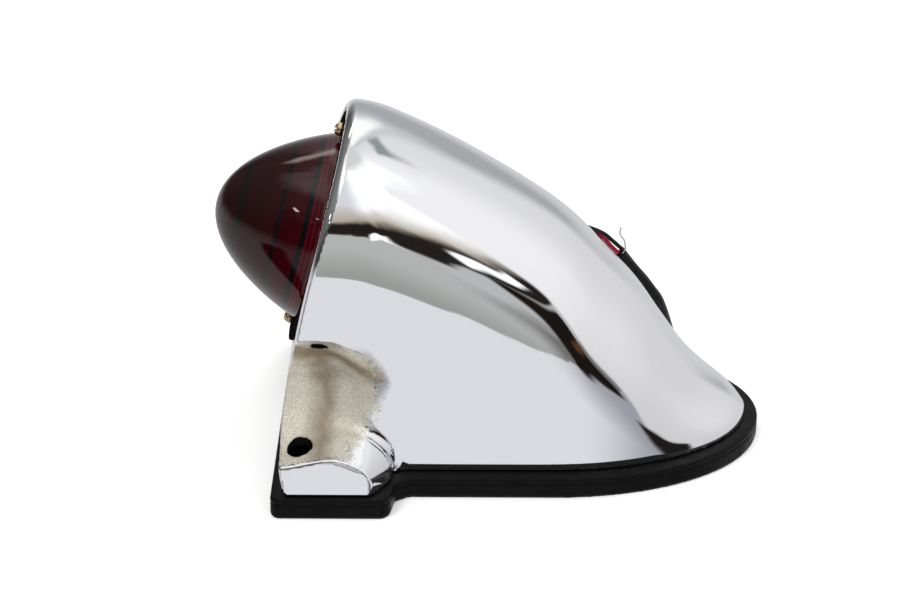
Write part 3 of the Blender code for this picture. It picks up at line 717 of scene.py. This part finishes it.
def pad_field(points):
    """The pad, with a groove round its side and a notch for the cable."""
    x, y, z = points.T
    outside = polygon_distance(x, y, PAD_OUTER)
    groove = 0.00035 * hump(z, 0.0058, 0.00045)
    foot = 0.0004 * smoothstep(z, 0.0012, 0.0004)
    body = round_cross(outside + groove + foot, z - PAD_HIGH.z, 0.0009)
    window = polygon_distance(x, y, PAD_INNER)
    body = round_cross(body, -window, 0.0006)
    holes = np.hypot(np.abs(x) - EAR_X, y - EAR_Y) - EAR_HOLE_RADIUS
    body = round_cross(body, -holes, 0.0004)
    notch = np.maximum(np.maximum(np.abs(y - NOTCH_Y) - 0.0027, z - 0.005), x + 0.03)
    body = np.maximum(body, -notch)
    return np.maximum(body, PAD_LOW.z - z)


def rubber_look(name, colour, rough, shine=0.3):
    look = Look(name, colour, 0.0, rough, Specular_IOR_Level=shine, IOR=1.25)
    dust = look.step(look.noise(85.0, 5.0, 0.65), 0.45, 0.85)
    dusty = tuple(c * 2.0 + 0.003 for c in colour)
    look.colour(look.blend(look.times(dust, 0.4), colour, dusty))
    look.roughness(look.step(look.noise(140.0, 3.0), 0.3, 0.7, rough - 0.12, rough + 0.1))
    look.bump(look.noise(1500.0, 4.0, 0.7), 0.00012, 0.5)
    look.bump(look.noise(60.0, 2.0), 0.0006, 0.25)
    return look.material


PAD_GRID = 0.0007
PAD_RUBBER = rubber_look("pad_rubber", (0.0038, 0.0038, 0.0042), 0.42)
pad_mesh = field_mesh("rubber_pad", pad_field, (-0.0712, -0.0796, -0.001), (0.0712, 0.1012, 0.009),
                      PAD_GRID)
new_piece("rubber_pad", pad_mesh, PAD_RUBBER, replaces=["base_pad"])


# ---- lens and what holds it
RING_STEPS = [(0.0051, 0.001), (0.0144, 0.0009), (0.0218, 0.0006), (0.0282, 0.0011)]
FLANGE_TOP = -0.0022
FLANGE_BOTTOM = -0.0046
SEAL_BOTTOM = -0.0064
PLATE_TOP = SEAL_BOTTOM - GAP
PLATE_BOTTOM = PLATE_TOP - 0.0015
LENS_WALL = 0.0028


def dome_radius(radius, length, z):
    """How wide a bullet is, z above its rim."""
    return radius * math.sqrt(max(0.0, 1 - (max(z, 0.0) / length) ** 1.13))


def lens_profile():
    """The bullet outside, the flange, and an inside with a raised ring at each step."""
    outside = [(0.0, LENS_LENGTH)]
    for i in range(1, 73):
        z = LENS_LENGTH * math.cos(math.pi / 2 * i / 72)
        outside.append((dome_radius(LENS_RADIUS, LENS_LENGTH, z), max(z, 0.0)))
    flange = rounded([(LENS_RADIUS, 0.0), (LENS_RADIUS, FLANGE_TOP), (FLANGE_RADIUS, FLANGE_TOP),
                      (FLANGE_RADIUS, FLANGE_BOTTOM), (LENS_RADIUS - LENS_WALL, FLANGE_BOTTOM)], 0.0004, 3)
    inside = []
    inner_length = LENS_LENGTH - LENS_WALL
    for i in range(111):
        z = inner_length * math.sin(math.pi / 2 * i / 110)
        ridge = sum(0.0009 * math.exp(-((z - centre) / width) ** 4) for centre, width in RING_STEPS)
        ridge += 0.0004 * (math.sin(z * 2 * math.pi / 0.0011) > 0) * (z < 0.0034)
        inside.append((max(dome_radius(LENS_RADIUS - LENS_WALL, inner_length, z) - ridge, 0.0), z))
    inside[-1] = (0.0, inner_length)
    return outside + flange[1:] + inside


def ruby_look():
    """Deep red and darker towards the tip, with painted shade as a dark band over each inner ring and
    painted highlights as fine bright rings at the rim.
    """
    look = Look("ruby", (0.055, 0.002, 0.006), 0.0, 0.018, IOR=1.5, Transmission_Weight=0.4,
                Specular_IOR_Level=0.4)
    z = look.along_lens()
    wobble = look.scale_add(look.noise(60.0, 2.0), 0.0006, z)
    # painted shade: a dark band over each inner ring step
    band = 0.0
    for (centre, width), strength in zip(RING_STEPS, (1.0, 0.85, 0.35, 0.95)):
        middle = centre + 0.0003
        away = look.math("ABSOLUTE", look.minus(wobble, middle))
        line = look.times(look.step(away, width * 1.25, width * 0.55), strength)
        band = look.larger(band, line)
    # painted highlight: fine bright rings near the rim
    waves = look.math("SINE", look.times(wobble, 2 * math.pi / 0.0017))
    near_rim = look.step(z, 0.0042, 0.0036)
    glint_lines = look.times(look.step(waves, 0.35, 0.85), near_rim)
    # darker towards the tip
    body = look.blend(look.step(z, 0.0, 0.024), (0.058, 0.0009, 0.0048), (0.021, 0.0008, 0.002))
    cloud = look.blend(look.times(look.noise(40.0, 2.0), 0.35), body, (0.018, 0.001, 0.003))
    bright = look.blend(look.times(glint_lines, 0.8), cloud, (0.16, 0.003, 0.012))
    look.colour(look.blend(band, bright, (0.0025, 0.005, 0.0045)))
    look.bump(look.noise(30.0, 1.0), 0.0006, 0.12)
    return look.material


def ring_profile(inner, outer, low, high, edge):
    corners = [(outer - 0.001, high), (outer, high), (outer, low), (inner, low), (inner, high),
               (outer - 0.001, high)]
    return rounded(corners, edge, 3)


def metal_look(name, colour, rough, worn, grain=600.0, turned=False):
    """Metal with fine machining or casting grain and worn, dirty patches."""
    look = Look(name, colour, 1.0, rough)
    place = look.stretch((1.0, 1.0, 14.0)) if turned else look.place
    fine = look.noise(grain, 4.0, 0.65, place)
    patch = look.step(look.noise(95.0, 5.0, 0.6), 0.45, 0.75)
    look.colour(look.blend(look.times(patch, 0.6), colour, worn))
    patch_rough = look.step(patch, 0.0, 1.0, rough - 0.08, rough + 0.08)
    look.roughness(look.scale_add(fine, 0.22, patch_rough))
    look.bump(fine, 0.00008, 0.6)
    return look.material


BRASS = metal_look("aged_brass", (0.78, 0.6, 0.34), 0.26, (0.42, 0.26, 0.13))
ZINC = metal_look("zinc_plate", (0.66, 0.66, 0.63), 0.3, (0.48, 0.47, 0.42))
NICKEL = metal_look("nickel_shell", (0.72, 0.7, 0.64), 0.22, (0.52, 0.48, 0.4), turned=True)
SPRING = metal_look("spring_wire", (0.55, 0.56, 0.58), 0.28, (0.38, 0.37, 0.35))
SOLDER = metal_look("solder", (0.6, 0.61, 0.63), 0.34, (0.42, 0.42, 0.42))
TUNGSTEN = metal_look("tungsten", (0.32, 0.32, 0.35), 0.35, (0.2, 0.2, 0.21))
TINNED = metal_look("tinned_copper", (0.74, 0.72, 0.7), 0.26, (0.6, 0.44, 0.34), grain=1400.0)
SEAL = rubber_look("seal_rubber", (0.006, 0.006, 0.006), 0.6, 0.0)
BLACK = rubber_look("black_enamel", (0.006, 0.0056, 0.0052), 0.5, 0.0)
new_piece("ruby_lens", lathe("ruby_lens", lens_profile(), 160, 40), ruby_look(), "lens", LENS_FRAME,
          ["lens"])
ring = ring_profile(0.0353, 0.043, -0.0019, -0.0004, 0.0005)
new_piece("retaining_ring", lathe("retaining_ring", ring, 144), BLACK, "lens", LENS_FRAME,
          ["lens_retainer"])
ring = ring_profile(0.0325, FLANGE_RADIUS, SEAL_BOTTOM, FLANGE_BOTTOM - GAP, 0.0005)
new_piece("sealing_ring", lathe("sealing_ring", ring, 144), SEAL, "lens", LENS_FRAME,
          ["lens_seal"])


def screw_mesh(name, head_radius, head_low, head_high, shank_radius, shank_low, slot_width):
    """A domed, slotted screw with a rolled thread, turned about z."""
    dome_low = head_low + 0.0006
    pitch = 0.0005
    profile = [(0.0, head_high)]
    profile += [(head_radius * math.sin(a), dome_low + (head_high - dome_low) * math.cos(a))
                for a in (math.pi / 2 * i / 9 for i in range(1, 10))]
    profile += [(head_radius, head_low + 0.0001), (head_radius - 0.0001, head_low), (shank_radius, head_low)]
    for turn in range(int((head_low - 0.0012 - shank_low) / pitch)):
        z = head_low - 0.0008 - turn * pitch
        profile += [(shank_radius, z), (shank_radius - 0.00028, z - pitch / 2)]
    profile += [(shank_radius - 0.0002, shank_low + 0.0003), (shank_radius - 0.0006, shank_low),
                (0.0, shank_low)]
    mesh = lathe(name, profile, 48, 50)
    item = linked(name, mesh)
    bm = bmesh.new()
    bmesh.ops.create_cube(bm, size=1.0)
    bmesh.ops.scale(bm, verts=bm.verts, vec=(head_radius * 3, slot_width, 0.0011 * 2))
    bmesh.ops.translate(bm, verts=bm.verts, vec=(0.0, 0.0, head_high + 0.0001))
    cutter = linked(name + "_slot", smooth_mesh(name + "_slot", bm))
    boolean = item.modifiers.new("slot", "BOOLEAN")
    boolean.object = cutter
    boolean.operation = "DIFFERENCE"
    bpy.context.view_layer.update()
    made = bpy.data.meshes.new_from_object(item.evaluated_get(bpy.context.evaluated_depsgraph_get()))
    bpy.data.objects.remove(cutter, do_unlink=True)
    bpy.data.objects.remove(item, do_unlink=True)
    made.name = name
    return made


for sign, label in ((1, "upper"), (-1, "lower")):
    mesh = screw_mesh("brass_screw_" + label, 0.0025, -0.0001, 0.0027, 0.0015, -0.0124, 0.0007)
    place = LENS_FRAME @ Matrix.Translation((0.0, sign * SCREW_CIRCLE, 0.0))
    place = place @ Matrix.Rotation(0.5 * sign, 4, "Z")
    node = "lens_screw_" + label
    new_piece("brass_screw_" + label, mesh, BRASS, node, place, [node])


# ---- mounting plate and its fixings
plate = ring_profile(0.0088 + GAP, 0.043, PLATE_BOTTOM, PLATE_TOP, 0.0004)
new_piece("lamp_plate", lathe("lamp_plate", plate, 144), ZINC, "housing", LENS_FRAME,
          ["mounting_plate"])


def make_spring():
    """The wire spring under the contact carrier, made at one length; the real one shortens as the bulb is
    pushed in.
    """
    low, high, radius, turns, steps = -0.0441, -0.0353, 0.0058, 5, 24
    angles = [2 * math.pi * i / steps for i in range(turns * steps + 1)]
    route = [(radius * math.cos(a), radius * math.sin(a), low + (high - low) * a / angles[-1])
             for a in angles]
    holder = bpy.data.objects.new("spring_route", tube("spring_route", route, 0.0004, 3))
    mesh = bpy.data.meshes.new_from_object(holder)
    bpy.data.objects.remove(holder)
    spring = new_piece("carrier_spring", mesh, SPRING, "housing", LENS_FRAME,
                       ["contact_spring"])
    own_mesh(spring)


# CAD nodes that keep their own shape, and the look of each
FINISHES = {"holder_bracket": ZINC, "holder_shell": NICKEL, "bulb_base": BRASS}
for node, look in (("plate_screw", ZINC), ("bracket_rivet", ZINC)):
    FINISHES.update({node + "_left": look, node + "_right": look})
for node, look in (("contact", BRASS), ("bulb_tip", SOLDER), ("filament", TUNGSTEN)):
    FINISHES.update({node + "_stop": look, node + "_tail": look})


# ---- bulb
def glass_look():
    look = Look("bulb_glass", (0.97, 0.98, 0.98), 0.0, 0.01, IOR=1.46, Transmission_Weight=1.0)
    smoke = look.step(look.noise(70.0, 2.0), 0.35, 0.8)
    look.colour(look.blend(smoke, (0.97, 0.98, 0.98), (0.88, 0.89, 0.88)))
    return look.material


def bulb_profile():
    """A thin-walled round envelope with a short neck."""
    centre, radius, neck, bottom, wall = 0.006, 0.012, 0.0058, -0.0135, 0.0007
    join = math.degrees(math.asin(neck / radius))
    outside = arc((0.0, centre), radius, 90, -90 + join, 28)
    inside = arc((0.0, centre), radius - wall, -90 + join + 4, 90, 28)
    middle = [(neck, bottom + 0.0004), (neck - 0.0002, bottom), (neck - wall + 0.0001, bottom)]
    return [(0.0, centre + radius)] + outside[1:] + middle + inside[:-1] + [(0.0, centre + radius - wall)]


GLASS = glass_look()
new_piece("bulb_envelope", lathe("bulb_envelope", bulb_profile(), 96), GLASS, "bulb", LENS_FRAME,
          ["bulb_glass"])
FINISHES["bulb_stem"] = GLASS


def fibre_look():
    look = Look("pressed_fibre", (0.15, 0.075, 0.035), 0.0, 0.7)
    weave = look.noise(700.0, 5.0, 0.7, look.stretch((1.0, 1.0, 6.0)))
    look.colour(look.blend(weave, (0.1, 0.05, 0.022), (0.22, 0.12, 0.06)))
    look.bump(weave, 0.00015, 0.6)
    return look.material


FINISHES["contact_carrier"] = fibre_look()


# ---- wiring
CABLE_RADIUS = 0.00195
LEAD_RADIUS = 0.0008
STRAND_RADIUS = 0.0003
CABLE_ROUTE = [(-0.0563, -0.02, 0.00205), (-0.062, -0.02, 0.00205), (-0.069, -0.016, 0.00205),
               (-0.0725, -0.007, 0.00205), (-0.0715, 0.005, 0.00205), (-0.0695, 0.018, 0.00205),
               (-0.069, 0.032, 0.00205), (-0.069, 0.046, 0.00205), (-0.067, 0.058, 0.0025),
               (-0.059, 0.0665, 0.006), (-0.048, 0.0698, 0.013), (-0.039, 0.069, 0.021),
               (-0.0325, 0.0665, 0.031), (-0.0283, 0.0636, 0.0398), (-0.027, 0.0605, 0.0448),
               (-0.0279, 0.0576, 0.0485), (-0.0291, 0.0547, 0.0515), (-0.0289, 0.0518, 0.0553),
               (-0.027, 0.0489, 0.06)]
LEAD_RED_ROUTE = [(-0.0268, 0.0479, 0.0599), (-0.0269, 0.0466, 0.0611), (-0.0268, 0.0448, 0.063),
                  (-0.0267, 0.0431, 0.0651), (-0.0272, 0.0413, 0.0667), (-0.0286, 0.0398, 0.0672),
                  (-0.0305, 0.0384, 0.067)]
LEAD_BLACK_ROUTE = [(-0.027, 0.0496, 0.0612), (-0.0256, 0.0483, 0.0628), (-0.0249, 0.0455, 0.0657),
                    (-0.025, 0.0428, 0.0681), (-0.0255, 0.0407, 0.0692), (-0.028, 0.0385, 0.0691),
                    (-0.032, 0.036, 0.0683), (-0.036, 0.0337, 0.0672)]
STRAND_ROUTE = [(-0.0255, 0.0494, 0.0604), (-0.0245, 0.0502, 0.0628), (-0.0252, 0.0498, 0.0658),
                (-0.0254, 0.0482, 0.0682), (-0.0255, 0.0484, 0.0711)]


def smooth_route(points, parts=8):
    """A smooth curve through the route's points."""
    route = [Vector(p) for p in points]
    ends = [route[0] * 2 - route[1]] + route + [route[-1] * 2 - route[-2]]
    fine = []
    for a, b, c, d in zip(ends, ends[1:], ends[2:], ends[3:]):
        for i in range(parts):
            t = i / parts
            fine.append(0.5 * (2 * b + (c - a) * t + (2 * a - 5 * b + 4 * c - d) * t * t
                               + (3 * b - a - 3 * c + d) * t ** 3))
    return fine + [route[-1]]


def tube(name, route, radius, resolution=5):
    """A curve with a round section along a route."""
    curve = bpy.data.curves.new(name, "CURVE")
    curve.dimensions = "3D"
    curve.bevel_depth = radius
    curve.bevel_resolution = resolution
    curve.use_fill_caps = True
    spline = curve.splines.new("POLY")
    spline.points.add(len(route) - 1)
    for point, place in zip(spline.points, route):
        point.co = (*place, 1.0)
    spline.use_smooth = True
    return curve


def plastic_look(name, colour, rough):
    look = Look(name, colour, 0.0, rough, Specular_IOR_Level=0.25)
    patch = look.step(look.noise(150.0, 4.0), 0.4, 0.8)
    scuffed = tuple(c * 1.9 + 0.006 for c in colour)
    look.colour(look.blend(look.times(patch, 0.5), colour, scuffed))
    grain = look.noise(500.0, 3.0)
    look.roughness(look.step(grain, 0.3, 0.7, rough - 0.08, rough + 0.08))
    look.bump(grain, 0.00006, 0.6)
    return look.material


JACKET = plastic_look("cable_jacket", (0.006, 0.006, 0.0065), 0.32)
RED = plastic_look("red_insulation", (0.46, 0.012, 0.05), 0.36)
BLACK_LEAD = plastic_look("black_insulation", (0.006, 0.006, 0.006), 0.32)


def make_wiring():
    """The pigtail outside the housing: the cable, its two leads and the bare strand."""
    for name, node, points, radius, look, slot in (
            ("lead_red_sleeve", "lead_red", LEAD_RED_ROUTE, LEAD_RADIUS, RED, "red_insulation"),
            ("lead_black_sleeve", "lead_black", LEAD_BLACK_ROUTE, LEAD_RADIUS, BLACK_LEAD,
             "black_insulation"),
            ("drain_wire", "drain_strand", STRAND_ROUTE, STRAND_RADIUS, TINNED, "tinned_copper")):
        curve = tube(name, smooth_route(points), radius, 4)
        new_piece(name, curve, look, replaces=[node])
    route = smooth_route(CABLE_ROUTE)
    cable = new_piece("cable_sleeve", tube("cable_sleeve", route, CABLE_RADIUS), JACKET,
                      replaces=["cable"])


make_wiring()
FINISHES.update({"inner_cable": JACKET, "holder_lead_stop": RED, "holder_lead_tail": BLACK_LEAD})
for node, look in FINISHES.items():
    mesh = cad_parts[node].data
    mesh.materials.clear()
    mesh.materials.append(look)


# ---- stage
def make_floor():
    """A plain pale table. Mirror-like surfaces read the studio instead of it."""
    bm = bmesh.new()
    bmesh.ops.create_grid(bm, x_segments=2, y_segments=2, size=2.0)
    mesh = smooth_mesh("floor", bm)
    floor = linked("floor", mesh)
    look = Look("table", (0.86, 0.86, 0.86), 0.0, 0.9, Emission_Color=(1.0, 1.0, 1.0, 1.0),
                Emission_Strength=0.3)
    mesh.materials.append(look.material)
    floor.visible_glossy = False
    floor.visible_transmission = False


def make_lamp(name, place, size, power):
    """A soft lamp aimed at the light, which its chrome doesn't show."""
    data = bpy.data.lights.new(name, "AREA")
    data.size = size
    data.energy = power
    lamp = linked(name, data)
    lamp.location = place
    lamp.rotation_mode = "QUATERNION"
    lamp.rotation_quaternion = (Vector((0.0, 0.0, 0.03)) - Vector(place)).to_track_quat("-Z", "Y")
    lamp.visible_glossy = False
    lamp.visible_camera = False


class Room(Graph):
    """The studio's light by direction: degrees of turn from the near side, and of lift."""

    def __init__(self, tree):
        super().__init__(tree)
        self.place = self.node("ShaderNodeTexCoord").outputs["Generated"]
        x, self.y, z = (self.separate(self.place, name) for name in "XYZ")
        degrees = 180 / math.pi
        turn = self.times(self.math("ARCTAN2", self.math("ABSOLUTE", self.y), x), degrees)
        lift = self.times(self.math("ARCSINE", z), degrees)
        slow, quick = self.waver(2.2, 2.0, 9.0), self.waver(6.5, 1.0, 7.0)
        self.turn = self.plus(turn, slow)
        self.lift = self.plus(self.scale_add(slow, 0.35, lift), quick)

    def waver(self, scale, detail, reach):
        """A slow drift in degrees, so that no edge in the room is straight."""
        return self.times(self.minus(self.noise(scale, detail, 0.5), 0.5), reach)

    def line(self, at_zero, slope):
        """A height that rises evenly with the turn."""
        return self.scale_add(self.turn, slope, at_zero)

    def span(self, value, limits):
        """A step or, with a third limit, a window."""
        return self.within(value, *limits) if len(limits) == 3 else self.step(value, *limits)

    def turned(self, *limits):
        return self.span(self.turn, limits)

    def lifted(self, *limits):
        return self.span(self.lift, limits)

    def paint(self, under, colour, *factors):
        """Lays a colour over another where every factor is one."""
        return self.blend(self.times(*factors), under, colour)

    def sweep(self):
        """The pale backdrop, from beside the nose round to the far side."""
        light = self.blend(self.lifted(-8.0, 46.0), (0.68, 0.665, 0.67), (0.96, 0.95, 0.965))
        light = self.paint(light, (0.72, 0.715, 0.72), self.turned(95.0, 140.0), 0.7)
        light = self.paint(light, (0.3, 0.32, 0.32), self.turned(118.0, 152.0, 4.0),
                           self.lifted(53.0, 64.0, 3.0))
        back = self.blend(self.lifted(2.0, 30.0, 9.0), (0.64, 0.64, 0.66), (0.41, 0.415, 0.425))
        light = self.blend(self.turned(141.0, 153.0), light, back)
        return self.paint(light, (1.08, 1.08, 1.05), self.turned(156.0, 185.0, 5.0), self.lifted(33.0, 45.0))

    def table_and_wall(self):
        """The white table top, and the grey wall past its edge."""
        table = self.blend(self.turned(14.0, 50.0), (0.77, 0.775, 0.8), (0.36, 0.36, 0.4))
        wall = self.blend(self.lifted(-18.0, 14.0), (0.34, 0.345, 0.325), (0.49, 0.49, 0.485))
        wall = self.blend(self.turned(20.0, 33.0), wall, (0.18, 0.175, 0.17))
        wall = self.paint(wall, (0.52, 0.52, 0.52), self.turned(20.0, 26.0), self.lifted(10.0, 20.0))
        edge = self.math("MINIMUM", self.line(-18.5, 0.78), self.line(-5.0, 0.13))
        past_edge = self.lifted(self.minus(edge, 0.5), self.plus(edge, 0.5))
        return self.blend(past_edge, table, wall)

    def near_side(self):
        """What stands in front of the light: table, wall, a dark band, windows and a figure."""
        ceiling = self.blend(self.turned(2.0, 17.0), (0.72, 0.73, 0.76), (1.12, 1.12, 1.11))
        cream = self.blend(self.lifted(33.0, 47.0), (0.5, 0.44, 0.37), ceiling)
        over_band = self.lifted(self.line(28.5, 0.1), self.line(33.5, 0.1))
        band = self.blend(over_band, (0.018, 0.014, 0.012), cream)
        over_wall = self.lifted(self.line(19.5, 0.16), self.line(21.0, 0.16))
        light = self.blend(over_wall, self.table_and_wall(), band)
        windows = self.larger(self.turned(12.0, 21.0, 1.2), self.turned(35.0, 51.0, 1.2))
        light = self.paint(light, (1.15, 1.15, 1.15), windows,
                           self.lifted(self.line(16.6, 0.3), self.line(21.0, 0.27), 0.7))
        light = self.paint(light, (0.012, 0.009, 0.007), self.turned(36.5, 54.0, 1.2),
                           self.lifted(-1.0, 27.0, 1.5))
        return self.paint(light, (0.1, 0.045, 0.02), self.turned(46.0, 54.0, 2.0),
                          self.lifted(10.0, 14.5, 1.5))

    def overhead(self, light):
        """The long soft box, and the duller ceiling above it."""
        light = self.paint(light, (1.15, 1.15, 1.15), self.lifted(57.0, 74.0, 3.0),
                           self.turned(14.0, 92.0, 6.0))
        return self.blend(self.lifted(74.0, 80.0), light, (0.69, 0.7, 0.68))

    def lens_side(self, light):
        """The unlit room that the lens faces, with a streak and two small lamps in it."""
        shade = self.blend(self.lifted(8.0, 48.0), (0.03, 0.028, 0.027), (0.12, 0.12, 0.12))
        light = self.paint(light, shade, self.step(self.y, -0.1, -0.22), self.lifted(62.0, 50.0),
                           self.lifted(-12.0, 4.0), self.turned(178.0, 150.0), 0.9)
        behind = self.step(self.y, -0.02, -0.06)
        light = self.paint(light, (3.6, 3.4, 3.0), behind, self.turned(141.0, 185.0, 4.0),
                           self.lifted(45.0, 52.0, 3.0))
        light = self.paint(light, (14.0, 13.0, 13.0), behind, self.turned(50.5, 55.0, 0.8),
                           self.lifted(37.0, 38.6, 0.5))
        return self.paint(light, (7.0, 6.4, 8.0), behind, self.turned(30.0, 36.0, 1.0),
                          self.lifted(34.4, 35.8, 0.5))


def make_studio():
    """Lights the scene by the room, which the camera itself sees as plain white."""
    world = bpy.data.worlds.new("studio")
    world.use_nodes = True
    bpy.context.scene.world = world
    room = Room(world.node_tree)
    light = room.blend(room.turned(60.0, 56.0), room.sweep(), room.near_side())
    light = room.paint(light, (0.014, 0.011, 0.01), room.turned(52.0, 67.0, 2.5), room.lifted(-9.0, -12.0))
    light = room.lens_side(room.overhead(light))
    seen = room.node("ShaderNodeLightPath").outputs["Is Camera Ray"]
    light = room.blend(seen, light, (1.0, 1.0, 1.0))
    room.join(light, world.node_tree.nodes["Background"].inputs["Color"])


make_spring()
make_floor()
make_studio()
make_lamp("key_lamp", (0.55, -0.45, 0.95), 0.7, 7.0)
make_lamp("fill_lamp", (-0.5, 0.7, 1.0), 0.8, 4.0)
bpy.context.scene.view_settings.view_transform = "Standard"
